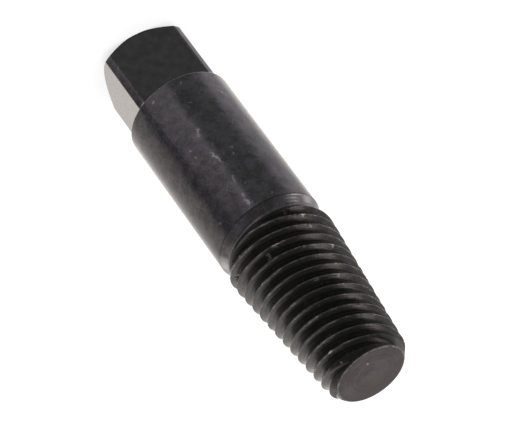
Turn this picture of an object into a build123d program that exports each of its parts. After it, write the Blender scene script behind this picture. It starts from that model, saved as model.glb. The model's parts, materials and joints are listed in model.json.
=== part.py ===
from build123d import *
from math import cos, radians, sin, tan
import os

# A large left-hand screw extractor, turned, milled and threaded from one bar of steel.
# It stands on its square drive end: the origin is the centre of that face and +Z points to the tip.

# Shank and square drive, in millimetres and degrees
shank_diameter = 26.5
shank_length = 43.3
square_across_flats = 20.0
square_length = 20.1
drive_face_diameter = 20.1
drive_chamfer_height = 2.65

# Neck between the shank and the thread
neck_diameter = 23.5
neck_cone_angle = 30.0
neck_corner_easing = 0.6

# Tapered multi-start thread, cut in a turned blank that trims its largest crests
thread_length = 45.7
blank_diameter = 27.1
thread_large_diameter = 27.5
thread_half_angle = 5.13
thread_run_in_angle = 40.0
thread_starts = 5
thread_pitch = 3.0
thread_turn = 19.5
groove_depth = 1.5
groove_floor = 0.2
crest_land = 0.15
tip_side_flank_angle = 31.0

# Tip
tip_face_diameter = 17.0
tip_chamfer_angle = 33.0

# Heights above the drive face
shank_top = square_length + shank_length
neck_drop = (shank_diameter - neck_diameter) / 2
neck_height = shank_top + neck_drop / tan(radians(neck_cone_angle))
run_in_rise = (blank_diameter - neck_diameter) / 2
thread_start = neck_height + run_in_rise / tan(radians(thread_run_in_angle))
total_length = shank_top + thread_length

# The easing of the neck's corner leaves at least a tenth of each of the two cones that it joins
shorter_cone = min(neck_drop / sin(radians(neck_cone_angle)), run_in_rise / sin(radians(thread_run_in_angle)))
neck_easing = min(neck_corner_easing, 0.9 * shorter_cone)

# The thread body is cut off square inside the neck and past the tip, and turning then shapes both ends
trim_allowance = 1.0
body_bottom = neck_height - trim_allowance
body_top = total_length + trim_allowance
helix_base = body_bottom - thread_pitch - trim_allowance
helix_height = body_top + trim_allowance - helix_base
lead = thread_starts * thread_pitch
start_spacing = 360 / thread_starts

# Thread form from one crest to the next: distance towards the tip, and depth below the crests
tip_side_flank = groove_depth * tan(radians(tip_side_flank_angle))
floor_start = crest_land + tip_side_flank
thread_form = [
    (0, 0),
    (crest_land, 0),
    (floor_start, groove_depth),
    (floor_start + groove_floor, groove_depth),
    (thread_pitch, 0),
]


def crest_radius(height):
    """Radius of the cone round the thread crests, at a height above the drive face."""
    return thread_large_diameter / 2 - (height - thread_start) * tan(radians(thread_half_angle))


def corner_helix(start, distance, depth):
    """One corner line of the thread: a left-hand helix that narrows with the cone of the crests."""
    height = helix_base + distance
    slant = 1 / cos(radians(thread_half_angle))
    helix = Helix(
        lead * slant,
        helix_height * slant,
        crest_radius(height) - depth,
        center=(0, 0, height),
        cone_angle=-thread_half_angle,
        lefthand=True,
    )
    turn_at_base = thread_turn + 360 * (thread_start - helix_base) / lead
    return helix.rotate(Axis.Z, turn_at_base + start * start_spacing)


def thread_strip(start, near_corner, far_corner):
    """The ruled face between two corner lines, trimmed level at both ends."""
    strip = Face.make_surface_from_curves(corner_helix(start, *near_corner), corner_helix(start, *far_corner))
    strip = strip.split(Plane.XY.offset(body_bottom), keep=Keep.TOP)
    return strip.split(Plane.XY.offset(body_top), keep=Keep.BOTTOM)


# Lands, flanks and floors of every start, closed by a level face at each end
strips = [
    thread_strip(start, near_corner, far_corner)
    for start in range(thread_starts)
    for near_corner, far_corner in zip(thread_form, thread_form[1:])
]
bottom_rim = Wire([strip.edges().sort_by(Axis.Z)[0] for strip in strips])
top_rim = Wire([strip.edges().sort_by(Axis.Z)[-1] for strip in strips])
thread_body = Solid(Shell([*strips, Face(bottom_rim), Face(top_rim)]))

# What the thread leaves of the blank: the thread body above the neck, and everything below it
with BuildPart() as thread_envelope:
    add(thread_body)
    with BuildSketch(Plane.XY.offset(neck_height)) as below_the_neck:
        Circle(shank_diameter)
    extrude(amount=-(neck_height + trim_allowance))

with BuildPart() as screw_extractor:
    # The turned blank: chamfered drive end, shank, eased neck, run-in cone, straight land, tip chamfer
    tip_chamfer_length = (blank_diameter - tip_face_diameter) / 2 / tan(radians(tip_chamfer_angle))
    with BuildSketch(Plane.XZ) as turned_outline:
        with BuildLine():
            Polyline(
                (0, 0),
                (drive_face_diameter / 2, 0),
                (shank_diameter / 2, drive_chamfer_height),
                (shank_diameter / 2, shank_top),
                (neck_diameter / 2, neck_height),
                (blank_diameter / 2, thread_start),
                (blank_diameter / 2, total_length - tip_chamfer_length),
                (tip_face_diameter / 2, total_length),
                (0, total_length),
                close=True,
            )
        make_face()
        neck_corner = vertices().sort_by_distance((neck_diameter / 2, neck_height))[0]
        chamfer(neck_corner, length=neck_easing)
    revolve(axis=Axis.Z)
    add(thread_envelope.part, mode=Mode.INTERSECT)

    # Four flats milled to a square shoulder, with round corner lands left between them
    with BuildSketch() as milled_away:
        Circle(shank_diameter)
        Rectangle(square_across_flats, square_across_flats, mode=Mode.SUBTRACT)
    extrude(amount=square_length, mode=Mode.SUBTRACT)

screw_extractor.part.label = "screw_extractor"

os.makedirs("parts", exist_ok=True)
export_step(screw_extractor.part, "parts/screw_extractor.step")
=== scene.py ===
import json
from math import acos, ceil, cos, pi, radians, sin, tan

import bmesh
import bpy
from mathutils import Matrix, Vector


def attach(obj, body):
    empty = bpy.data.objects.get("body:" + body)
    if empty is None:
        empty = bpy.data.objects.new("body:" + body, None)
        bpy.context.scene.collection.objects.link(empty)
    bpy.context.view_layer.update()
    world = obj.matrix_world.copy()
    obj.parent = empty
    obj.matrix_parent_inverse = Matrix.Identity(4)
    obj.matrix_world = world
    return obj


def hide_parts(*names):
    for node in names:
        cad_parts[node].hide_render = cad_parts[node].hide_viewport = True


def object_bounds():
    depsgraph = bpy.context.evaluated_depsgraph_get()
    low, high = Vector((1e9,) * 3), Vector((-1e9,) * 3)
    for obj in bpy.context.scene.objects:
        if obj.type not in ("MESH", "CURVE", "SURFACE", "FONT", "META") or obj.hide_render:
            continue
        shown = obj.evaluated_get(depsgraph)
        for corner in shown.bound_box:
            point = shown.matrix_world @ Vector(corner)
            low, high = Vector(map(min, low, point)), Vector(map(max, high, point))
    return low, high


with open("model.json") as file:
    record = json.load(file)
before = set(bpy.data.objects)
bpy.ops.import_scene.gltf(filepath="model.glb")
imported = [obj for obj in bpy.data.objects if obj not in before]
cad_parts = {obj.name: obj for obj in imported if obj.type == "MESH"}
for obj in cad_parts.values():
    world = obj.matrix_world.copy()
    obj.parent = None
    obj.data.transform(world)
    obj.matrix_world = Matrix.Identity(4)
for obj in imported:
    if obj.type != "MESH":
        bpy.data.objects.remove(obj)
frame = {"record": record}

# The tool stands on its square end, +Z towards the threaded tip. Its shapes are worked out in
# millimetres and turned into metres once, at the end.
cadLow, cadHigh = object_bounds()
millimetre = 0.001
rootBody = "root"
cadNode = "screw_extractor"
scene = bpy.context.scene
mounts = {mount["name"]: mount for mount in frame["record"]["mounts"]}
toolLength = cadHigh[2] / millimetre
shankRadius = mounts["shank"]["dims"]["r_mm"]
flatDistance = mounts["drive_flat_right"]["pos_m"][0] / millimetre

# Where the photograph was taken from: the tip's side, rolled so that the tip is at the lower
# right. Angles are in degrees, the rest in metres and, for the lens, millimetres.
photoCamera = {
    "azimuth": 17.11,
    "elevation": 34.70,
    "roll": 143.70,
    "distance": 0.6703,
    "aimSide": -0.00007,
    "aimHeight": 0.0572,
    "lens": 203.93,
    "clipStart": 0.01,
    "clipEnd": 50,
}
viewedFront = 17    # azimuth of the side that faces the camera, in whole degrees


def direction(azimuth, elevation):    # azimuth 0 looks back along -Y, as the camera's does
    azimuth, elevation = radians(azimuth), radians(elevation)
    return Vector((sin(azimuth) * cos(elevation), -cos(azimuth) * cos(elevation), sin(elevation)))


def addCamera(settings):
    towardsCamera = direction(settings["azimuth"], settings["elevation"])
    sideways = direction(settings["azimuth"] + 90, 0)
    aim = sideways * settings["aimSide"] + Vector((0, 0, settings["aimHeight"]))
    camera = bpy.data.objects.new("photoCamera", bpy.data.cameras.new("photoCamera"))
    camera.data.lens = settings["lens"]
    camera.data.clip_start = settings["clipStart"]
    camera.data.clip_end = settings["clipEnd"]
    roll = Matrix.Rotation(radians(settings["roll"]), 3, "Z").to_quaternion()
    camera.rotation_mode = "QUATERNION"
    camera.rotation_quaternion = (-towardsCamera).to_track_quat("-Z", "Y") @ roll
    camera.location = aim + towardsCamera * settings["distance"]
    scene.collection.objects.link(camera)
    scene.camera = camera


# Node helpers, for shader trees and Geometry Nodes alike

def plug(tree, value, socket):
    if isinstance(value, bpy.types.NodeSocket):
        tree.links.new(value, socket)
    else:
        socket.default_value = value


def addNode(tree, kind, inputs=None, **settings):
    node = tree.nodes.new(kind)
    for name, value in settings.items():
        setattr(node, name, value)
    for name, value in (inputs or {}).items():
        plug(tree, value, node.inputs[name])
    return node


def calc(tree, operation, *values):
    inputs = dict(enumerate(values))
    return addNode(tree, "ShaderNodeMath", inputs, operation=operation).outputs[0]


def calcVector(tree, operation, *values):
    inputs = dict(enumerate(values))
    node = addNode(tree, "ShaderNodeVectorMath", inputs, operation=operation)
    gives = "Value" if operation in ("DOT_PRODUCT", "LENGTH", "DISTANCE") else "Vector"
    return node.outputs[gives]


def scaled(tree, vector, factor):
    inputs = {0: vector, "Scale": factor}
    return addNode(tree, "ShaderNodeVectorMath", inputs, operation="SCALE").outputs["Vector"]


def combine(tree, x, y, z):
    return addNode(tree, "ShaderNodeCombineXYZ", {"X": x, "Y": y, "Z": z}).outputs[0]


def separate(tree, vector):
    return addNode(tree, "ShaderNodeSeparateXYZ", {"Vector": vector}).outputs


def ramp(tree, value, low, high, outLow=0.0, outHigh=1.0, smooth=True):
    kind = "SMOOTHSTEP" if smooth else "LINEAR"
    inputs = {
        "Value": value, "From Min": low, "From Max": high, "To Min": outLow, "To Max": outHigh,
    }
    return addNode(tree, "ShaderNodeMapRange", inputs, interpolation_type=kind).outputs[0]


def blend(tree, factor, first, second):    # of two colours, the node's sockets 6 and 7
    inputs = {"Factor": factor, 6: first, 7: second}
    return addNode(tree, "ShaderNodeMix", inputs, data_type="RGBA").outputs[2]


# The studio: a white room for the camera, with broad darker and brighter patches that only the
# metal mirrors, and a pale floor that keeps the tool's shadow. Where patches overlap, the later
# one covers the earlier.
studio = {
    "backdrop": (1.0, 1.0, 1.0),
    "room": (1.0, 1.0, 1.0),
    "floorSize": 3.0,
    "floorColour": (0.5, 0.5, 0.5),
    "floorLift": 0.68,
}
studioPatches = {    # azimuth and elevation, inner and outer reach in degrees, colour
    "frontDim": (17, 20, 40, 80, (0.5, 0.49, 0.49)),
    "behindLow": (197, -35, 30, 100, (1.93, 1.81, 1.73)),
    "rightLow": (-97, -35, 8, 34, (1.75, 1.73, 1.78)),
    "leftFlag": (77, -34, 6, 15, (0.23, 0.23, 0.235)),
    "leftBelow": (78, -50, 4, 11, (0.9, 0.9, 0.92)),
    "leftFlagFade": (66, -35, 4, 22, (0.40, 0.40, 0.41)),
    "frontLow": (33, -35, 12, 28, (0.80, 0.775, 0.81)),
    "frontLower": (34, -75, 33, 41, (1.75, 1.67, 1.80)),
    "underneath": (34, -90, 28, 44, (0.6, 0.58, 0.6)),
    "rightFlag": (-24, -36, 20, 45, (0.60, 0.62, 0.63)),
    "frontStreak": (12, -34.5, 4, 10, (1.95, 1.92, 2.02)),
    "streakFoot": (12, -41, 4, 10, (1.9, 1.87, 1.97)),
    "streakEdge": (-6, -38, 9, 13, (0.58, 0.60, 0.61)),
    "frontUpper": (17, 44, 12, 22, (0.13, 0.13, 0.13)),
    "darkCeiling": (47, 66, 33, 50, (0.08, 0.08, 0.077)),
    "neckLeft": (58, 20, 14, 30, (0.88, 0.83, 0.87)),
    "neckRight": (-42, 18, 5, 16, (0.85, 0.82, 0.85)),
    "leftHorizon": (124, 2, 22, 34, (2.0, 1.9, 1.85)),
    "leftRim": (147, -6, 8, 22, (6.0, 5.8, 5.6)),
    "rightHorizon": (-92, 3, 26, 36, (2.4, 2.3, 2.35)),
    "rightRim": (-106, 0, 7, 16, (6.5, 6.3, 6.3)),
    "behindHigh": (197, 35, 10, 34, (1.36, 1.22, 1.2)),
    "leftWindow": (158, 20, 8, 20, (1.9, 1.85, 1.8)),
    "leftHigh": (131, 47, 9, 22, (1.6, 1.57, 1.47)),
    "rightFar": (-97, 50, 8, 24, (1.05, 1.0, 1.08)),
    "rightHigh": (-84, 58, 6, 15, (0.50, 0.47, 0.50)),
    "rightWindow": (-67, 69, 4, 13, (3.3, 2.8, 3.0)),
}


def addWorld():
    world = bpy.data.worlds.new("studioWorld")
    scene.world = world
    world.use_nodes = True
    tree = world.node_tree
    tree.nodes.clear()
    looking = addNode(tree, "ShaderNodeTexCoord").outputs["Generated"]
    mirrored = studio["room"] + (1,)
    for name, (azimuth, elevation, inner, outer, colour) in studioPatches.items():
        inputs = {0: looking, 1: direction(azimuth, elevation)}
        along = addNode(
            tree, "ShaderNodeVectorMath", inputs, operation="DOT_PRODUCT", label=name,
        ).outputs["Value"]
        mask = ramp(tree, along, cos(radians(outer)), cos(radians(inner)))
        mirrored = blend(tree, mask, mirrored, colour + (1,))
    glossy = addNode(tree, "ShaderNodeLightPath").outputs["Is Glossy Ray"]
    shown = blend(tree, glossy, studio["backdrop"] + (1,), mirrored)
    background = addNode(tree, "ShaderNodeBackground", {"Color": shown, "Strength": 1.0})
    output = addNode(tree, "ShaderNodeOutputWorld", {"Surface": background.outputs[0]})
    output.is_active_output = True


def addFloor():
    half = studio["floorSize"] / 2
    mesh = bpy.data.meshes.new("studioFloor")
    corners = [(-half, -half, 0), (half, -half, 0), (half, half, 0), (-half, half, 0)]
    mesh.from_pydata(corners, [], [(0, 1, 2, 3)])
    floor = bpy.data.objects.new("studioFloor", mesh)
    scene.collection.objects.link(floor)
    floor.visible_glossy = False
    paper = bpy.data.materials.new("studioPaper")
    paper.use_nodes = True
    tree = paper.node_tree
    tree.nodes.clear()
    ray = addNode(tree, "ShaderNodeLightPath").outputs
    seen = calc(tree, "MAXIMUM", ray["Is Camera Ray"], ray["Is Glossy Ray"])
    seen = calc(tree, "MAXIMUM", seen, ray["Is Transmission Ray"])
    lift = calc(tree, "MULTIPLY", seen, studio["floorLift"])
    shaded = addNode(tree, "ShaderNodeBsdfDiffuse", {"Color": studio["floorColour"] + (1,)})
    glow = addNode(tree, "ShaderNodeEmission", {"Color": (1, 1, 1, 1), "Strength": lift})
    both = addNode(tree, "ShaderNodeAddShader", {0: shaded.outputs[0], 1: glow.outputs[0]})
    addNode(tree, "ShaderNodeOutputMaterial", {"Surface": both.outputs[0]})
    mesh.materials.append(paper)


print("camera, floor and light")
addCamera(photoCamera)
addWorld()
addFloor()
scene.view_settings.view_transform = "Standard"


# The turned and milled blank, before the thread is cut in it
blankShape = {
    "driveFaceRadius": 10.05,
    "chamferHeight": 2.65,
    "squareLength": 20.1,
    "shankTop": 63.4,
    "neckRadius": 11.75,
    "neckConeAngle": 30.0,
    "blankRadius": 13.55,
    "runInAngle": 40.0,
    "tipFaceRadius": 8.5,
    "tipChamferAngle": 33.0,
    "edgeEasing": 0.2,
    "neckEasing": 1.2,
    "tipEasing": 0.35,
    "cornerEasing": 0.12,
    "chamferRows": 8,
    "easingSteps": 5,
    "columnsPerFlat": 28,
    "columnsPerLand": 12,
    "shoulderOverlap": 4.0,    # in edge easings, under the corner that ends the square
    "shoulderRise": 2.0,    # in edge easings, up to where the lands follow the square
    "mergeDistance": 0.002,
    "sharpAngle": 40,
}
neckDrop = shankRadius - blankShape["neckRadius"]
neckHeight = blankShape["shankTop"] + neckDrop / tan(radians(blankShape["neckConeAngle"]))
runInRise = blankShape["blankRadius"] - blankShape["neckRadius"]
threadStart = neckHeight + runInRise / tan(radians(blankShape["runInAngle"]))
tipRise = blankShape["blankRadius"] - blankShape["tipFaceRadius"]
tipChamferHeight = toolLength - tipRise / tan(radians(blankShape["tipChamferAngle"]))


def easedOutline(corners, steps):    # rounds each (radius, height, easing) but the two ends
    outline = [corners[0][:2]]
    for before, corner, after in zip(corners, corners[1:], corners[2:]):
        middle = Vector(corner[:2])
        towardsBefore = Vector(before[:2]) - middle
        towardsAfter = Vector(after[:2]) - middle
        start = middle + towardsBefore.normalized() * corner[2]
        end = middle + towardsAfter.normalized() * corner[2]
        for step in range(steps + 1):
            t = step / steps
            outline.append(tuple(start * (1 - t) ** 2 + middle * 2 * t * (1 - t) + end * t ** 2))
    outline.append(corners[-1][:2])
    return outline


def columnAngles(shape, radius):    # round the square, crowded at its corners
    corner = acos(flatDistance / radius)
    angles = []
    for quarter in range(4):
        middle = quarter * pi / 2
        for start, end, count in (
            (middle - corner, middle + corner, shape["columnsPerFlat"]),
            (middle + corner, middle + pi / 2 - corner, shape["columnsPerLand"]),
        ):
            crowded = [(1 - cos(pi * step / count)) / 2 for step in range(count)]
            angles += [start + (end - start) * share for share in crowded]
    return angles


def squaredRadius(shape, radius, angle):    # the square's outline, its corners slightly eased
    fromFlat = (angle + pi / 4) % (pi / 2) - pi / 4
    flat = flatDistance / cos(fromFlat)
    easing = shape["cornerEasing"]
    return min(radius, flat) - max(easing - abs(radius - flat), 0) ** 2 / (4 * easing)


def ringPoints(reaches, angles, height):
    return [(reach * cos(a), reach * sin(a), height) for reach, a in zip(reaches, angles)]


def makeBlank(shape):
    easing, steps, rows = shape["edgeEasing"], shape["easingSteps"], shape["chamferRows"]
    faceRadius, squareLength = shape["driveFaceRadius"], shape["squareLength"]
    squareRows = easedOutline(
        [
            (0, 0, 0),
            (faceRadius, 0, easing),
            (shankRadius, shape["chamferHeight"], easing),
            (shankRadius, squareLength, 0),
        ],
        steps,
    )
    chamferFoot, chamferHead = Vector(squareRows[steps + 1]), Vector(squareRows[steps + 2])
    chamfer = [tuple(chamferFoot.lerp(chamferHead, (row / rows) ** 2)) for row in range(1, rows)]
    squareRows = squareRows[1:steps + 2] + chamfer + squareRows[steps + 2:]
    roundRows = easedOutline(
        [
            (shankRadius - shape["shoulderOverlap"] * easing, squareLength, 0),
            (shankRadius, squareLength, easing),
            (shankRadius, shape["shankTop"], easing),
            (shape["neckRadius"], neckHeight, shape["neckEasing"]),
            (shape["blankRadius"], threadStart, easing),
            (shape["blankRadius"], tipChamferHeight, easing),
            (shape["tipFaceRadius"], toolLength, shape["tipEasing"]),
            (0, toolLength, 0),
        ],
        steps,
    )[:-1]

    blank = bmesh.new()
    rings = []
    for radius, height in squareRows:
        angles = columnAngles(shape, max(radius, faceRadius))
        reaches = [squaredRadius(shape, radius, angle) for angle in angles]
        rings.append(ringPoints(reaches, angles, height))
    angles = columnAngles(shape, shankRadius)
    square = [squaredRadius(shape, shankRadius, angle) for angle in angles]
    for radius, height in roundRows:
        onShoulder = height < squareLength + shape["shoulderRise"] * easing
        reaches = [max(radius, flat) if onShoulder else radius for flat in square]
        rings.append(ringPoints(reaches, angles, height))
    rings = [[blank.verts.new(point) for point in ring] for ring in rings]
    for lower, upper in zip(rings, rings[1:]):
        for column in range(len(lower)):
            after = (column + 1) % len(lower)
            blank.faces.new((lower[column], lower[after], upper[after], upper[column]))
    for ring, height in ((rings[0], 0), (rings[-1], toolLength)):
        middle = blank.verts.new((0, 0, height))
        for column in range(len(ring)):
            blank.faces.new((middle, ring[(column + 1) % len(ring)], ring[column]))
    bmesh.ops.remove_doubles(blank, verts=blank.verts, dist=shape["mergeDistance"])
    bmesh.ops.recalc_face_normals(blank, faces=blank.faces)
    mesh = bpy.data.meshes.new("turnedBlank")
    blank.to_mesh(mesh)
    blank.free()
    return mesh


# The left-hand thread, tapered with five starts. Its shell is a grid whose rows follow the
# crests; the blank keeps only what lies inside the shell.
threadShape = {
    "Starts": 5,
    "Pitch": 3.0,
    "Crest Radius": 13.75,    # where the run-in cone ends
    "Half Angle": radians(5.13),
    "Groove Depth": 1.5,
    "Groove Floor": 0.2,
    "Crest Land": 0.15,
    "Tip Flank Angle": radians(31.0),
    "Crest Easing": 0.06,
    "Floor Easing": 0.18,
    "Turn": radians(19.5),
    "Columns": 224,
    "Rows Per Pitch": 20,
    "Crowding": 0.6,
    "Nick Depth": 0.18,
    "Nick Scale": 0.55,
    "Nick Reach": 0.4,    # down the flanks
    "Nick Threshold": 0.56,
    "Nick Gain": 6.0,
    "Seed": 4.0,
}
burrs = {
    "grainScale": 2.2,
    "grainFrom": 0.42,
    "grainTo": 0.58,
    "raised": -0.5,    # the part of its depth that a burr stands out by
    "core": 0.4,    # the part of its reach that has the full depth
    "spots": {    # azimuth, height, reach and depth
        "leftBurr": (89.0, 70.8, 1.9, 0.5),
        "runInBurr": (-10.5, 68.1, 1.2, 0.6),
    },
}
shellEnds = {
    "Low Cut": neckHeight + 0.3,    # under this the shell stands well clear of the blank
    "High Cut": toolLength + 0.9,
    "Clear Radius": 20.0,
    "Clear Drop": 6.0,
    "Low End": -5.0,
    "Apex Rise": 3.0,
    "Apex Drop": 5.0,
    "Merge Distance": 0.004,
    "Thread Start": threadStart,
}


def makeThreadTree(inputs, material):
    tree = bpy.data.node_groups.new("taperedThread", "GeometryNodeTree")
    tree.interface.new_socket("Blank", in_out="INPUT", socket_type="NodeSocketGeometry")
    tree.interface.new_socket("Threaded", in_out="OUTPUT", socket_type="NodeSocketGeometry")
    identifiers = {}
    for name, value in inputs.items():
        kind = "NodeSocketInt" if isinstance(value, int) else "NodeSocketFloat"
        socket = tree.interface.new_socket(name, in_out="INPUT", socket_type=kind)
        identifiers[name] = socket.identifier
    given = addNode(tree, "NodeGroupInput").outputs

    def m(operation, *values):
        return calc(tree, operation, *values)

    # Grid rows and columns as whole numbers
    rows = m("MULTIPLY", given["Rows Per Pitch"], given["Pitches"])
    grid = addNode(tree, "GeometryNodeMeshGrid", {
        "Size X": 1.0, "Size Y": 1.0,
        "Vertices X": m("ADD", given["Columns"], 1), "Vertices Y": m("ADD", rows, 1),
    })
    place = separate(tree, addNode(tree, "GeometryNodeInputPosition").outputs[0])
    column = m("ROUND", m("MULTIPLY", m("ADD", place["X"], 0.5), given["Columns"]))
    row = m("ROUND", m("MULTIPLY", m("ADD", place["Y"], 0.5), rows))
    turn = m("DIVIDE", column, given["Columns"])
    angle = m("MULTIPLY", turn, 2 * pi)

    # Distance along the thread form, crowded at the crests
    step = m("DIVIDE", row, given["Rows Per Pitch"])
    swing = m("SINE", m("MULTIPLY", step, 2 * pi))
    crowded = m("SUBTRACT", step, m("MULTIPLY", m("DIVIDE", given["Crowding"], 2 * pi), swing))
    along = m("MULTIPLY", crowded, given["Pitch"])
    halfLand = m("MULTIPLY", given["Crest Land"], 0.5)
    lead = m("MULTIPLY", given["Starts"], given["Pitch"])
    climbed = m("ADD", along, given["First Crest"])
    height = m("ADD", m("SUBTRACT", climbed, m("MULTIPLY", lead, turn)), halfLand)

    # Depth under the crests: flank towards the tip, slower flank towards the shank, narrow floor
    flankSlope = m("TANGENT", given["Tip Flank Angle"])
    tipFlank = m("MULTIPLY", given["Groove Depth"], flankSlope)
    formUsed = m("ADD", m("ADD", given["Crest Land"], tipFlank), given["Groove Floor"])
    backFlank = m("SUBTRACT", given["Pitch"], formUsed)
    furthest = m("ADD", m("ADD", tipFlank, halfLand), m("MULTIPLY", given["Groove Floor"], 0.5))
    fromCrest = m("WRAP", along, furthest, m("SUBTRACT", furthest, given["Pitch"]))
    tipDepth = m("DIVIDE", m("SUBTRACT", fromCrest, halfLand), flankSlope)
    backSlope = m("DIVIDE", given["Groove Depth"], backFlank)
    backDepth = m("MULTIPLY", m("SUBTRACT", m("MULTIPLY", fromCrest, -1), halfLand), backSlope)
    flanks = m("MAXIMUM", tipDepth, backDepth)
    crested = m("SMOOTH_MAX", flanks, 0, given["Crest Easing"])
    depth = m("SMOOTH_MIN", crested, given["Groove Depth"], given["Floor Easing"])

    # Cone of the crests, with small nicks and burrs worn into them
    rise = m("SUBTRACT", height, given["Thread Start"])
    fallen = m("MULTIPLY", rise, m("TANGENT", given["Half Angle"]))
    crestRadius = m("SUBTRACT", given["Crest Radius"], fallen)
    across, back = m("COSINE", angle), m("SINE", angle)

    def ring(reach, level):
        return combine(tree, m("MULTIPLY", reach, across), m("MULTIPLY", reach, back), level)

    onCone = ring(crestRadius, height)
    dents = addNode(tree, "ShaderNodeTexNoise", {
        "Vector": onCone, "W": given["Seed"], "Scale": given["Nick Scale"], "Detail": 3.0,
    }, noise_dimensions="4D")
    dented = m("MAXIMUM", m("SUBTRACT", dents.outputs["Fac"], given["Nick Threshold"]), 0)
    nearCrest = m("MAXIMUM", m("SUBTRACT", 1, m("DIVIDE", depth, given["Nick Reach"])), 0)
    nick = m("MULTIPLY", m("MULTIPLY", dented, nearCrest), given["Nick Gain"])
    worn = m("MULTIPLY", nick, given["Nick Depth"])
    grain = addNode(tree, "ShaderNodeTexNoise", {
        "Vector": onCone, "Scale": burrs["grainScale"], "Detail": 2.0,
    })
    pitted = ramp(
        tree, grain.outputs["Fac"], burrs["grainFrom"], burrs["grainTo"], burrs["raised"], 1.0,
    )
    for azimuth, spotHeight, reach, spotDepth in burrs["spots"].values():
        middle = direction(azimuth, 0) * blankShape["blankRadius"] + Vector((0, 0, spotHeight))
        away = calcVector(tree, "DISTANCE", onCone, middle)
        spot = ramp(tree, away, reach, reach * burrs["core"], 0.0, spotDepth)
        worn = m("ADD", worn, m("MULTIPLY", spot, pitted))
    radius = m("SUBTRACT", m("SUBTRACT", crestRadius, depth), worn)

    # Both ends of the shell, closed on the axis: rows 0 and 1 are its foot
    def choose(test, usual, instead):
        inputs = {"Switch": test, "False": usual, "True": instead}
        return addNode(tree, "GeometryNodeSwitch", inputs, input_type="VECTOR").outputs[0]

    skirt = ring(given["Clear Radius"], m("SUBTRACT", given["Low Cut"], given["Clear Drop"]))
    apex = combine(tree, 0, 0, m("ADD", given["High Cut"], given["Apex Rise"]))
    foot = ring(given["Clear Radius"], given["Low End"])
    footMiddle = combine(tree, 0, 0, m("SUBTRACT", given["Low End"], given["Apex Drop"]))
    point = choose(m("LESS_THAN", height, given["Low Cut"]), ring(radius, height), skirt)
    point = choose(m("GREATER_THAN", height, given["High Cut"]), point, apex)
    point = choose(m("LESS_THAN", row, 1.5), point, foot)
    point = choose(m("LESS_THAN", row, 0.5), point, footMiddle)
    placed = addNode(tree, "GeometryNodeSetPosition", {
        "Geometry": grid.outputs["Mesh"], "Position": point,
    })
    shell = addNode(tree, "GeometryNodeMergeByDistance", {
        "Geometry": placed.outputs[0], "Distance": given["Merge Distance"],
    })

    cut = addNode(tree, "GeometryNodeMeshBoolean", operation="INTERSECT", solver="MANIFOLD")
    plug(tree, given["Blank"], cut.inputs["Mesh 2"])
    plug(tree, shell.outputs[0], cut.inputs["Mesh 2"])
    smooth = addNode(tree, "GeometryNodeSetShadeSmooth", {
        "Geometry": cut.outputs["Mesh"], "Shade Smooth": True,
    })
    real = addNode(tree, "GeometryNodeRealizeInstances", {"Geometry": smooth.outputs[0]})
    finish = addNode(tree, "GeometryNodeSetMaterial", {
        "Geometry": real.outputs[0], "Material": material,
    })
    addNode(tree, "NodeGroupOutput", {"Threaded": finish.outputs[0]})
    return tree, identifiers


def makeTool(material):
    blank = bpy.data.objects.new("turnedBlank", makeBlank(blankShape))
    scene.collection.objects.link(blank)
    inputs = threadShape | shellEnds
    pitch = inputs["Pitch"]
    lead = inputs["Starts"] * pitch
    crestAtZero = threadStart + lead * inputs.pop("Turn") / (2 * pi)
    skipped = ceil((crestAtZero - inputs["Low Cut"]) / pitch) + 2
    inputs["First Crest"] = crestAtZero - skipped * pitch
    inputs["Pitches"] = ceil((inputs["High Cut"] + lead - inputs["First Crest"]) / pitch) + 1
    tree, identifiers = makeThreadTree(inputs, material)
    modifier = blank.modifiers.new("cutThread", "NODES")
    modifier.node_group = tree
    for name, value in inputs.items():
        modifier[identifiers[name]] = value
    evaluated = blank.evaluated_get(bpy.context.evaluated_depsgraph_get())
    mesh = bpy.data.meshes.new_from_object(evaluated)
    bpy.data.objects.remove(blank)
    mesh.name = "spiralExtractor"
    mesh.transform(Matrix.Scale(millimetre, 4))
    mesh.set_sharp_from_angle(angle=radians(blankShape["sharpAngle"]))
    tool = bpy.data.objects.new("spiralExtractor", mesh)
    scene.collection.objects.link(tool)
    return tool


# Finishes: one black oxide over turned, threaded, milled and faced steel. Patches are a noise's
# scale and detail, where its ramp starts and ends, and the least and most that it puts out.

def makeGroup(name, numbers, vectors, results, build):
    group = bpy.data.node_groups.new(name, "ShaderNodeTree")
    for label in vectors:
        group.interface.new_socket(label, in_out="INPUT", socket_type="NodeSocketVector")
    for label, value in numbers.items():
        socket = group.interface.new_socket(label, in_out="INPUT", socket_type="NodeSocketFloat")
        socket.default_value = value
    for label in results:
        group.interface.new_socket(label, in_out="OUTPUT", socket_type="NodeSocketFloat")
    given = addNode(group, "NodeGroupInput").outputs
    masks = build(group, given)
    addNode(group, "NodeGroupOutput", dict(zip(results, masks)))
    return group


def use(tree, group, inputs):
    return addNode(tree, "ShaderNodeGroup", inputs, node_tree=group).outputs


def noise(tree, point, scale, detail, **options):
    inputs = {"Vector": point, "Scale": scale, "Detail": detail} | options
    return addNode(tree, "ShaderNodeTexNoise", inputs).outputs["Fac"]


def patchy(tree, point, scale, detail, *edges):
    return ramp(tree, noise(tree, point, scale, detail), *edges)


# Merges a mask into another: wear, painted highlights and painted shade alike
def addWear(tree, wearAndHighlights, mask, amount):
    return calc(tree, "MAXIMUM", wearAndHighlights, calc(tree, "MULTIPLY", mask, amount))


def addCentred(tree, value, pattern, amount):    # a pattern around 0.5, added as plus and minus
    centred = calc(tree, "SUBTRACT", pattern, 0.5)
    return calc(tree, "ADD", value, calc(tree, "MULTIPLY", centred, amount))


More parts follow.
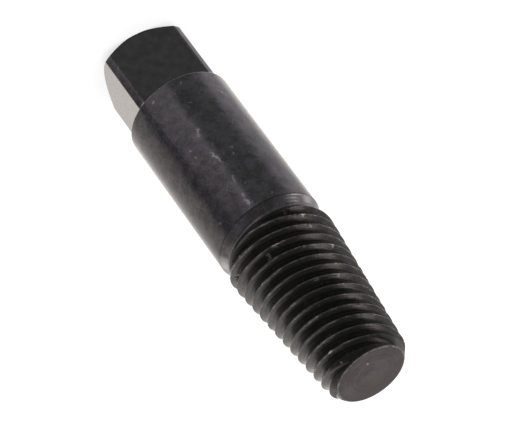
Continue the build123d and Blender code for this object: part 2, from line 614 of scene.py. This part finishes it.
# Effects that the finishes share, as node groups
effects = {
    "patchEdge": (0.3, 0.7),
    "patchDetail": 3.0,
    "grainDetail": 4.0,
    "grainSharpness": 0.6,
    "scratchStretch": 0.06,
    "scratchDetail": 2.0,
    "scratchEdge": (0.60, 0.70),
    "scratchPatches": (0.35, 2.0, 0.42, 0.62),
    "speckEdge": (0.12, -0.05),
    "speckShare": (0.86, 0.88),
    "scuffEdge": (1.0, 0.3),
    "scuffThickness": 1.2,
    "ringPatches": (1.3, 3.0, 0.35, 0.6, 0.35, 1.0),
    "ringCore": 0.08,
}


def buildMottle(tree, given):
    patchScale = calc(tree, "DIVIDE", 1, given["Patch Size"])
    grainScale = calc(tree, "DIVIDE", 1, given["Grain Size"])
    sharpness, edge = effects["grainSharpness"], effects["patchEdge"]
    grain = noise(tree, given["Point"], grainScale, effects["grainDetail"], Roughness=sharpness)
    patches = patchy(tree, given["Point"], patchScale, effects["patchDetail"], *edge)
    return patches, ramp(tree, grain, *edge, smooth=False)


def buildScratches(tree, given):    # thin lines that wind by Twist radians a millimetre
    angle = calc(tree, "MULTIPLY", separate(tree, given["Point"])["Z"], given["Twist"])
    inputs = {"Vector": given["Point"], "Angle": angle}
    wound = addNode(tree, "ShaderNodeVectorRotate", inputs, rotation_type="Z_AXIS").outputs[0]
    stretched = calcVector(tree, "MULTIPLY", wound, (1, 1, effects["scratchStretch"]))
    lineScale = calc(tree, "DIVIDE", 1, given["Line Width"])
    lines = noise(tree, stretched, lineScale, effects["scratchDetail"])
    scattered = patchy(tree, given["Point"], *effects["scratchPatches"])
    return (calc(tree, "MULTIPLY", ramp(tree, lines, *effects["scratchEdge"]), scattered),)


def buildSpecks(tree, given):
    cells = addNode(tree, "ShaderNodeTexVoronoi", {
        "Vector": given["Point"], "Scale": calc(tree, "DIVIDE", 1, given["Spacing"]),
    }).outputs
    picked = addNode(tree, "ShaderNodeSeparateColor", {"Color": cells["Color"]}).outputs
    reach = calc(tree, "MULTIPLY", cells["Distance"], given["Spacing"])
    size = calc(tree, "MULTIPLY", picked["Green"], given["Speck Size"])
    inside = ramp(tree, calc(tree, "SUBTRACT", reach, size), *effects["speckEdge"])
    return (calc(tree, "MULTIPLY", inside, ramp(tree, picked["Red"], *effects["speckShare"])),)


def buildScuff(tree, given):    # a soft oval mark lying on the surface
    placed = addNode(tree, "ShaderNodeMapping", {
        "Vector": given["Point"], "Location": given["Place"],
        "Rotation": given["Turn"], "Scale": given["Size"],
    }, vector_type="TEXTURE")
    away = calcVector(tree, "LENGTH", placed.outputs[0])
    return (calc(tree, "MULTIPLY", ramp(tree, away, *effects["scuffEdge"]), given["Strength"]),)


def buildEdgeWear(tree, given):    # a ring of wear and painted highlight at the corner of two turned surfaces
    outward = calc(tree, "SUBTRACT", given["Radius"], given["Corner Radius"])
    upward = calc(tree, "SUBTRACT", given["Height"], given["Corner Height"])
    away = calcVector(tree, "LENGTH", combine(tree, outward, upward, 0))
    broken = patchy(tree, given["Point"], *effects["ringPatches"])
    near = ramp(tree, away, given["Reach"], effects["ringCore"])
    return (calc(tree, "MULTIPLY", near, broken),)


mottleGroup = makeGroup(
    "oxideMottle", {"Patch Size": 5.0, "Grain Size": 0.7},
    ["Point"], ["Patches", "Grain"], buildMottle,
)
scratchGroup = makeGroup(
    "fineScratches", {"Twist": 0.0, "Line Width": 0.3}, ["Point"], ["Scratches"], buildScratches,
)
speckGroup = makeGroup(
    "brightSpecks", {"Spacing": 3.0, "Speck Size": 0.2}, ["Point"], ["Specks"], buildSpecks,
)
scuffGroup = makeGroup(
    "ovalScuff", {"Strength": 1.0}, ["Point", "Place", "Turn", "Size"], ["Scuff"], buildScuff,
)
edgeGroup = makeGroup(
    "ringWear",
    {"Radius": 0.0, "Height": 0.0, "Corner Radius": 10.0, "Corner Height": 0.0, "Reach": 0.35},
    ["Point"], ["Wear"], buildEdgeWear,
)


oxide = {
    "metallic": 0.9,
    "darkTone": (0.035, 0.0334, 0.0346, 1),
    "lightTone": (0.057, 0.0540, 0.0566, 1),
    "plumTint": (0.053, 0.0440, 0.0515, 1),
    "plumPatches": (0.16, 2.0, 0.52, 0.72, 0.0, 0.45),
    "bareSteel": (0.42, 0.39, 0.385, 1),
    "patchSize": 2.4,
    "grainSize": 0.7,
}


def startMetal(name, settings):    # its colour, roughness and normal are filled in later
    material = bpy.data.materials.new(name)
    material.use_nodes = True
    tree = material.node_tree
    shader = tree.nodes["Principled BSDF"]
    shader.inputs["Metallic"].default_value = settings["metallic"]
    if "edgeTint" in settings:
        shader.inputs["Specular Tint"].default_value = settings["edgeTint"]
    coordinates = addNode(tree, "ShaderNodeTexCoord").outputs["Object"]
    return material, tree, shader, scaled(tree, coordinates, 1 / millimetre)


def mottled(tree, point, settings):
    return use(tree, mottleGroup, {
        "Point": point, "Patch Size": settings["patchSize"], "Grain Size": settings["grainSize"],
    })


def scratched(tree, point, settings, twist):
    scratch = use(tree, scratchGroup, {
        "Point": point, "Twist": twist, "Line Width": settings["scratchWidth"],
    })
    return scratch["Scratches"]


def oxideColour(tree, settings, patches, point):
    colour = blend(tree, patches, settings["darkTone"], settings["lightTone"])
    plum = patchy(tree, point, *settings["plumPatches"])
    return blend(tree, plum, colour, settings["plumTint"])


def roughened(tree, roughness, pattern, amount):
    varied = calc(tree, "MULTIPLY", pattern, amount)
    return calc(tree, "ADD", roughness - amount / 2, varied)


def setRelief(tree, shader, height, depth):
    bump = addNode(tree, "ShaderNodeBump", {"Height": height, "Distance": depth, "Strength": 1.0})
    plug(tree, bump.outputs[0], shader.inputs["Normal"])


scuffs = {    # azimuth, height, radius, half length, half width, tilt, strength
    "shank": [
        (12.7, 36.9, shankRadius, 1.1, 0.72, 15, 0.3),
        (14.8, 37.9, shankRadius, 0.88, 0.65, -30, 0.24),
        (13.9, 45.5, shankRadius, 1.9, 0.45, -12, 0.36),
        (12.6, 47.1, shankRadius, 1.2, 0.39, -12, 0.32),
        (14.8, 61.2, shankRadius, 1.6, 0.59, -10, 0.36),
        (14.1, 59, shankRadius, 1.2, 0.52, 5, 0.2),
        (11.9, 53.7, shankRadius, 2, 0.39, 8, 0.2),
        (31.9, 22.2, shankRadius, 0.44, 0.59, 0, 0.28),
        (-1.9, 22.2, shankRadius, 0.31, 1, -35, 0.28),
        (2.4, 28.6, shankRadius, 0.28, 0.78, 15, 0.34),
        (-37.9, 27.6, shankRadius, 0.62, 0.45, 0, 0.28),
        (-34.6, 27.1, shankRadius, 0.38, 0.39, 0, 0.24),
        (30.7, 39.9, shankRadius, 0.62, 0.39, 0, 0.24),
        (30.7, 42.6, shankRadius, 1, 0.33, 0, 0.2),
        (-5.6, 45.6, shankRadius, 0.62, 0.39, -35, 0.32),
        (-2.5, 47.3, shankRadius, 0.75, 0.33, -20, 0.28),
        (51.1, 59.9, shankRadius, 0.56, 0.52, 0, 0.24),
        (-10.6, 62.1, shankRadius, 0.75, 0.39, 10, 0.24),
        (-18.1, 48.7, shankRadius, 0.38, 0.59, 30, 0.2),
        (-18, 50.9, shankRadius, 0.62, 0.33, -15, 0.2),
        (83.4, 50.1, shankRadius, 0.5, 0.39, 0, 0.2),
        (9.3, 24.6, shankRadius, 1.2, 0.39, 0, 0.12),
    ],
    "neck": [
        (-34, 63.75, 13, 0.2, 3.2, 0, 0.4),
        (-29, 64.4, 12.7, 0.3, 3, 2, 0.22),
        (-31, 65.1, 12.3, 0.26, 2.6, 2, 0.2),
    ],
    "crest": [
        (31.7, 75.9, 12.3, 1.4, 0.75, 12, 0.7),
        (89, 71, 13.3, 1.2, 1.4, 0, 1.5),
        (-10.5, 68.2, 12.9, 0.9, 1.1, 0, 0.3),
        (-24.3, 76.2, 12.2, 0.9, 1.1, 0, 0.2),
        (-26.6, 103.3, 9.8, 0.9, 1.0, 0, 0.35),
        (56, 69.95, 13.5, 0.42, 0.77, 9, 1.5),
        (46.7, 70.4, 13.5, 0.32, 1.8, 9, 0.54),
        (78.9, 69.1, 13.5, 0.37, 0.66, 9, 0.54),
        (-24.4, 70.6, 13.45, 0.57, 0.66, 9, 1.5),
        (-18.4, 70.3, 13.5, 0.37, 1.3, 9, 0.72),
        (16.6, 75.1, 13.1, 0.32, 1.9, 9, 0.81),
        (9.1, 75.3, 13.1, 0.37, 0.44, 9, 0.72),
        (-25.7, 73.9, 13.2, 0.52, 0.44, 9, 0.72),
        (-37.4, 80.4, 12.6, 0.52, 0.55, 9, 0.72),
        (-0.2, 78.3, 12.8, 0.42, 0.55, 9, 0.54),
        (-5.5, 78.8, 12.8, 0.47, 0.55, 9, 0.54),
        (53.1, 79.4, 12.7, 0.32, 0.99, 9, 0.63),
        (-26.8, 85.6, 12.2, 0.47, 0.55, 9, 0.72),
        (4.1, 87.9, 12, 0.32, 1.3, 9, 0.54),
        (-20.8, 88.9, 11.9, 0.42, 0.55, 9, 0.54),
        (37.6, 95.1, 11.3, 0.32, 0.77, 9, 0.63),
        (28.4, 95.55, 11.3, 0.37, 0.66, 9, 0.72),
        (-23.6, 97.4, 11.1, 0.47, 0.55, 9, 0.54),
        (31.2, 100.5, 10.8, 0.32, 1.1, 9, 0.54),
        (41.7, 103.9, 10.5, 0.37, 0.99, 9, 1.5),
        (22, 104.6, 10.5, 0.32, 0.77, 9, 0.54),
        (39.8, 107.5, 10.2, 0.42, 0.44, 9, 0.54),
        (-22.6, 107.8, 10.2, 0.42, 0.66, 9, 0.63),
    ],
}


def scuffMasks(tree, point, marks):
    total = 0
    for azimuth, height, radius, along, across, tilt, strength in marks:
        outward, around, up = direction(azimuth, 0), direction(azimuth + 90, 0), Vector((0, 0, 1))
        lengthways = up * cos(radians(tilt)) + around * sin(radians(tilt))
        axes = Matrix((outward, lengthways.cross(outward), lengthways)).transposed()
        scuff = use(tree, scuffGroup, {
            "Point": point,
            "Place": outward * radius + up * height,
            "Turn": tuple(axes.to_euler()),
            "Size": (effects["scuffThickness"], across, along),
            "Strength": strength,
        })
        total = calc(tree, "MAXIMUM", total, scuff["Scuff"])
    return total


def aroundAxis(tree, point):    # radius and height of a point
    parts = separate(tree, point)
    radius = calcVector(tree, "LENGTH", combine(tree, parts["X"], parts["Y"], 0))
    return radius, parts["Z"]


turned = oxide | {
    "roughness": 0.23,
    "grainRoughness": 0.1,
    "wearRoughness": 0.12,
    "edgeTint": (0.72, 0.72, 0.72, 1),
    "grainDepth": 0.000010,
    "grainTone": 1.2,
    "wearRelief": 0.8,
    "waves": (0.4, 2.0),    # noise scale and detail
    "waviness": 1.2,
    "markPatches": (2.2, 3.0, 0.35, 0.65, 0.35, 1.0),
    "ragged": (1.4, 2.0),    # noise scale and detail
    "raggedness": 1.4,    # how far the marks' outlines wander
    "scratchTwists": (0.045, -0.06),
    "scratchWidth": 0.35,
    "scratchAmount": 0.08,
    "specks": [(3.0, 0.2, 0.38), (1.3, 0.12, 0.28)],    # spacing, size and amount
    # wear with a painted highlight on the shoulder and drive chamfer edges:
    "shoulderWear": 0.4,
    # a painted highlight in the neck's corner, and how far above the neck radius it sits:
    "neckWear": 0.12,
    "neckWearRise": 0.15,
    # a painted shade line just above the top of the shank:
    "shankEndShade": (0.05, 0.3, 0.1, 0.5),    # rise, outer and inner reach, amount
    # colour of the painted shade at the shank's top and deep in the grooves, and of the darker tip
    # chamfer
    "shadeAndDarkening": (0.010, 0.0095, 0.009, 1),
}


# What turned and threaded steel share: marks with ragged outlines, finer lines that aren't
# ragged, scratches, specks and mottle, over the given wear and painted highlights. Streaks,
# painted shade with other darkening, and added roughness are masks.
def finishTurned(
    tree, shader, point, settings, wearAndHighlights, marks, lines=(), streaks=None, shadeAndDarkening=None, rougher=None,
):
    speckled = patchy(tree, point, *settings["markPatches"])
    scale, detail = settings["ragged"]
    ragged = addNode(tree, "ShaderNodeTexNoise", {
        "Vector": point, "Scale": scale, "Detail": detail,
    }).outputs["Color"]
    offset = calcVector(tree, "SUBTRACT", ragged, (0.5, 0.5, 0.5))
    reach = (settings["raggedness"],) * 3
    shifted = calcVector(tree, "MULTIPLY_ADD", offset, reach, point)
    marked = scuffMasks(tree, shifted, marks)
    marked = calc(tree, "MAXIMUM", marked, scuffMasks(tree, point, lines))
    wearAndHighlights = addWear(tree, wearAndHighlights, marked, speckled)
    for twist in settings["scratchTwists"]:
        scratches = scratched(tree, point, settings, twist)
        wearAndHighlights = addWear(tree, wearAndHighlights, scratches, settings["scratchAmount"])
    for spacing, size, amount in settings["specks"]:
        inputs = {"Point": point, "Spacing": spacing, "Speck Size": size}
        wearAndHighlights = addWear(tree, wearAndHighlights, use(tree, speckGroup, inputs)["Specks"], amount)

    mottle = mottled(tree, point, settings)
    patches = addCentred(tree, mottle["Patches"], mottle["Grain"], settings["grainTone"])
    wearRelief = calc(tree, "MULTIPLY", wearAndHighlights, settings["wearRelief"])
    relief = calc(tree, "ADD", mottle["Grain"], wearRelief)
    waves = noise(tree, point, *settings["waves"])
    relief = calc(tree, "ADD", relief, calc(tree, "MULTIPLY", waves, settings["waviness"]))
    if streaks is not None:
        patches = addCentred(tree, patches, streaks, settings["streakTone"])
        streakRelief = calc(tree, "MULTIPLY", streaks, settings["streakDepth"])
        relief = calc(tree, "ADD", relief, streakRelief)
    colour = oxideColour(tree, settings, patches, point)
    # painted shade, and the darker tip chamfer, darken the colour
    if shadeAndDarkening is not None:
        colour = blend(tree, shadeAndDarkening, colour, settings["shadeAndDarkening"])
    plug(tree, blend(tree, wearAndHighlights, colour, settings["bareSteel"]), shader.inputs["Base Color"])
    rough = roughened(tree, settings["roughness"], mottle["Grain"], settings["grainRoughness"])
    rough = calc(tree, "ADD", rough, calc(tree, "MULTIPLY", wearAndHighlights, settings["wearRoughness"]))
    if rougher is not None:
        rough = calc(tree, "ADD", rough, rougher)
    plug(tree, rough, shader.inputs["Roughness"])
    setRelief(tree, shader, relief, settings["grainDepth"])


def wearAndHighlightRing(tree, point, around, cornerRadius, cornerHeight, amount):
    radius, height = around
    ring = use(tree, edgeGroup, {
        "Point": point, "Radius": radius, "Height": height,
        "Corner Radius": cornerRadius, "Corner Height": cornerHeight,
    })
    return calc(tree, "MULTIPLY", ring["Wear"], amount)


# A painted highlight ring in the corner where the neck meets the run-in cone
def neckHighlightRing(tree, point, around, settings):
    radius = blankShape["neckRadius"] + settings["neckWearRise"]
    return wearAndHighlightRing(tree, point, around, radius, neckHeight, settings["neckWear"])


def makeTurned(settings, marks, lines):    # edges worn and with painted highlights, a painted neck highlight, painted shade at the top
    material, tree, shader, point = startMetal("turnedOxide", settings)
    around = aroundAxis(tree, point)
    # A painted highlight in the neck's corner
    wearAndHighlights = neckHighlightRing(tree, point, around, settings)
    # Wear with a painted highlight along the shoulder and the drive chamfer's edge
    for corner in (blankShape["squareLength"], blankShape["chamferHeight"]):
        ring = wearAndHighlightRing(tree, point, around, shankRadius, corner, settings["shoulderWear"])
        wearAndHighlights = calc(tree, "MAXIMUM", wearAndHighlights, ring)
    _, height = around
    rise, outer, inner, amount = settings["shankEndShade"]
    # Painted shade: a thin dark line just above the top of the shank, where it meets the neck
    fromEnd = calc(tree, "SUBTRACT", height, blankShape["shankTop"] + rise)
    endShade = ramp(tree, calc(tree, "ABSOLUTE", fromEnd), outer, inner, 0.0, amount)
    finishTurned(tree, shader, point, settings, wearAndHighlights, marks, lines, shadeAndDarkening=endShade)
    return material


# Depths lie under the crests or the tip's cone: where a mask starts and where it is full
threaded = turned | {
    "metallic": 0.77,
    "waviness": 4.0,
    "darkTone": (0.037, 0.0365, 0.034, 1),
    "lightTone": (0.053, 0.0515, 0.0480, 1),
    "plumTint": (0.050, 0.044, 0.045, 1),
    "runIn": (0.8, 1.6),    # over the neck, where the marks of the thread set in
    # crests lightened for wear and as a painted highlight line:
    "crestWear": 0.26,
    "crestDepths": (0.36, 0.03),
    "crestPatches": [(0.5, 2.0, 0.42, 0.70), (1.7, 2.0, 0.35, 0.62, 0.25, 1.0)],
    # a painted highlight on the groove floors:
    "floorHighlight": 0.05,
    "floorDepths": (1.36, 1.46),
    # painted shade deep in the grooves:
    "grooveShadeAmount": 0.6,
    "grooveShadeDepths": (0.85, 1.2),
    "streakPatches": (1.0, 3.0, 0.3, 0.7),
    "streakSpread": (0.12, 2.3),    # noise scale along and across the flanks
    "streakTone": 2.2,
    "streakDepth": 1.5,
    # wear with a painted highlight on the tip's edge:
    "tipEdgeWear": 0.45,
    "tipDepths": (0.35, 0.1),
    # how far the tip chamfer's colour is darkened:
    "tipDarkening": 0.95,
    "tipRoughness": 0.3,
}


def makeThreaded(settings, marks):    # worn crests with painted highlights, painted groove floor highlights, a darker dull tip chamfer
    material, tree, shader, point = startMetal("threadedOxide", settings)
    around = aroundAxis(tree, point)
    radius, height = around
    rise = calc(tree, "SUBTRACT", height, threadStart)
    fallen = calc(tree, "MULTIPLY", rise, tan(threadShape["Half Angle"]))
    coneRadius = calc(tree, "SUBTRACT", threadShape["Crest Radius"], fallen)
    crestRadius = calc(tree, "MINIMUM", coneRadius, blankShape["blankRadius"])
    underCrest = calc(tree, "SUBTRACT", crestRadius, radius)
    runInStart, runInEnd = settings["runIn"]
    onThread = ramp(tree, height, neckHeight + runInStart, neckHeight + runInEnd)
    # Crest lines lightened for wear and as a painted highlight, broken into patches
    broad, fine = (patchy(tree, point, *patches) for patches in settings["crestPatches"])
    crestPatchiness = calc(tree, "MULTIPLY", broad, fine)
    crestLine = calc(tree, "MULTIPLY", ramp(tree, underCrest, *settings["crestDepths"]), onThread)
    crestLine = calc(tree, "MULTIPLY", crestLine, crestPatchiness)
    # A painted highlight along the groove floors
    floorHighlightLine = calc(tree, "MULTIPLY", ramp(tree, underCrest, *settings["floorDepths"]), onThread)
    wearAndHighlights = calc(tree, "MULTIPLY", crestLine, settings["crestWear"])
    wearAndHighlights = addWear(tree, wearAndHighlights, floorHighlightLine, settings["floorHighlight"])
    # A painted highlight in the neck's corner
    wearAndHighlights = calc(tree, "MAXIMUM", wearAndHighlights, neckHighlightRing(tree, point, around, settings))
    # Wear with a painted highlight around the tip's edge
    tipRadius, amount = blankShape["tipFaceRadius"], settings["tipEdgeWear"]
    tipEdge = wearAndHighlightRing(tree, point, around, tipRadius, toolLength, amount)
    wearAndHighlights = calc(tree, "MAXIMUM", wearAndHighlights, tipEdge)

    # Streaks along the flanks, left by the cutter, and painted shade deep in the grooves
    alongScale, acrossScale = settings["streakSpread"]
    slow = scaled(tree, point, alongScale)
    across = combine(tree, calc(tree, "MULTIPLY", underCrest, acrossScale), 0, 0)
    flankPlace = calcVector(tree, "ADD", slow, across)
    streaks = patchy(tree, flankPlace, *settings["streakPatches"])
    # Painted shade deep in the grooves
    deep = ramp(tree, underCrest, *settings["grooveShadeDepths"], 0.0, settings["grooveShadeAmount"])
    shadeAndDarkening = calc(tree, "MULTIPLY", deep, onThread)

    # The tip's chamfer, found by how far a point lies under its cone, is darker and duller
    fromTip = calc(tree, "SUBTRACT", toolLength, height)
    chamferRise = calc(tree, "MULTIPLY", fromTip, tan(radians(blankShape["tipChamferAngle"])))
    underChamfer = calc(tree, "SUBTRACT", calc(tree, "ADD", chamferRise, tipRadius), radius)
    atTip = ramp(tree, underChamfer, *settings["tipDepths"])
    shadeAndDarkening = addWear(tree, shadeAndDarkening, atTip, settings["tipDarkening"])
    rougher = calc(tree, "MULTIPLY", atTip, settings["tipRoughness"])
    finishTurned(
        tree, shader, point, settings, wearAndHighlights, marks, streaks=streaks, shadeAndDarkening=shadeAndDarkening, rougher=rougher,
    )
    return material


milled = oxide | {
    "roughness": 0.27,
    "grainRoughness": 0.06,
    "darkTone": (0.0375, 0.0358, 0.0365, 1),
    "lightTone": (0.0515, 0.0495, 0.0505, 1),
    "patchSize": 2.5,
    "grainSize": 0.9,
    "grainDepth": 0.000001,
    "scratchWidth": 0.4,
    "scratchAmount": 0.03,
    "cornerWear": 0.12,
    "cornerReach": (0.4, 0.05),
    "cornerPatches": (0.9, 3.0, 0.4, 0.62),
}


def makeMilled(settings):
    material, tree, shader, point = startMetal("milledOxide", settings)
    mottle = mottled(tree, point, settings)
    radius, _ = aroundAxis(tree, point)
    inner, outer = settings["cornerReach"]
    nearCorner = ramp(tree, radius, shankRadius - inner, shankRadius - outer)
    broken = patchy(tree, point, *settings["cornerPatches"])
    corner = calc(tree, "MULTIPLY", nearCorner, broken)
    corner = calc(tree, "MULTIPLY", corner, settings["cornerWear"])
    wearAndHighlights = addWear(tree, corner, scratched(tree, point, settings, 0.0), settings["scratchAmount"])
    colour = blend(tree, mottle["Patches"], settings["darkTone"], settings["lightTone"])
    plug(tree, blend(tree, wearAndHighlights, colour, settings["bareSteel"]), shader.inputs["Base Color"])
    rough = roughened(tree, settings["roughness"], mottle["Grain"], settings["grainRoughness"])
    plug(tree, rough, shader.inputs["Roughness"])
    setRelief(tree, shader, mottle["Grain"], settings["grainDepth"])
    return material


faced = oxide | {
    "roughness": 0.30,
    "ringRoughness": 0.16,
    "darkTone": (0.031, 0.0293, 0.0290, 1),
    "lightTone": (0.052, 0.0490, 0.0480, 1),
    "plumTint": (0.050, 0.0440, 0.0460, 1),
    "plumPatches": (0.2, 2.0, 0.52, 0.72, 0.0, 0.45),
    "patchSize": 3.5,
    "grainSize": 0.8,
    "grainRelief": 0.4,
    "ringDepth": 0.000012,
    "ringSpacing": 0.8,
    "ringDetail": 3.0,
    "ringTone": 3.0,
    "wobble": (0.4, 1.0, 0.5),    # noise scale and detail, amount
    # darker and browner towards the back of the face:
    "darkerBackTone": (0.022, 0.0187, 0.0158, 1),
    "darkerBackReach": (-0.5, 7.5, 0.0, 0.9),    # from the axis towards the back
    "dot": (0.65, 4.6),    # to the right and front from the axis
    "dotReach": (0.4, 0.2, 0.0, 0.35),
}


def makeFaced(settings):    # turned rings, darker and browner towards the back of the face, one bright dot
    material, tree, shader, point = startMetal("facedOxide", settings)
    mottle = mottled(tree, point, settings)
    radius, _ = aroundAxis(tree, point)
    scale, detail, amount = settings["wobble"]
    wobble = calc(tree, "MULTIPLY", noise(tree, point, scale, detail), amount)
    across = combine(tree, calc(tree, "ADD", radius, wobble), 0, 0)
    rings = noise(tree, across, 1 / settings["ringSpacing"], settings["ringDetail"])
    front, rightwards = direction(viewedFront, 0), direction(viewedFront - 90, 0)
    backwards = calcVector(tree, "DOT_PRODUCT", point, direction(viewedFront + 180, 0))
    darkerBack = ramp(tree, backwards, *settings["darkerBackReach"])
    right, forward = settings["dot"]
    dotPlace = rightwards * right + front * forward + Vector((0, 0, toolLength))
    dot = ramp(tree, calcVector(tree, "DISTANCE", point, dotPlace), *settings["dotReach"])

    ringed = addCentred(tree, mottle["Patches"], rings, settings["ringTone"])
    colour = oxideColour(tree, settings, ringed, point)
    colour = blend(tree, darkerBack, colour, settings["darkerBackTone"])
    plug(tree, blend(tree, dot, colour, settings["bareSteel"]), shader.inputs["Base Color"])
    rough = roughened(tree, settings["roughness"], rings, settings["ringRoughness"])
    plug(tree, rough, shader.inputs["Roughness"])
    grainRelief = calc(tree, "MULTIPLY", mottle["Grain"], settings["grainRelief"])
    setRelief(tree, shader, calc(tree, "ADD", rings, grainRelief), settings["ringDepth"])
    return material


def spreadFinishes(mesh, threadedSteel, milledSteel, facedSteel):    # the shank keeps slot 0
    for steel in (threadedSteel, milledSteel, facedSteel):
        mesh.materials.append(steel)
    threadedIndex, milledIndex, facedIndex = range(1, 4)
    sizes = (flatDistance, toolLength, blankShape["squareLength"], neckHeight, 0.02)
    flat, top, shoulder, neck, slack = (size * millimetre for size in sizes)
    level = 0.999    # a face's normal along an axis, at least
    for face in mesh.polygons:
        centre, normal = face.center, face.normal
        sideways = max(abs(centre.x), abs(centre.y))
        atEnd = min(abs(centre.z - top), abs(centre.z)) < slack
        onFlat = abs(sideways - flat) < slack and centre.z < shoulder
        if abs(normal.z) > level and atEnd:
            face.material_index = facedIndex
        elif centre.z > neck:
            face.material_index = threadedIndex
        elif max(abs(normal.x), abs(normal.y)) > level and onFlat:
            face.material_index = milledIndex


print("tool")
tool = makeTool(makeTurned(turned, scuffs["shank"], scuffs["neck"]))
spreadFinishes(
    tool.data, makeThreaded(threaded, scuffs["crest"]), makeMilled(milled), makeFaced(faced),
)
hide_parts(cadNode)
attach(tool, rootBody)
print(f"tool has {sum(len(face.vertices) - 2 for face in tool.data.polygons)} triangles")
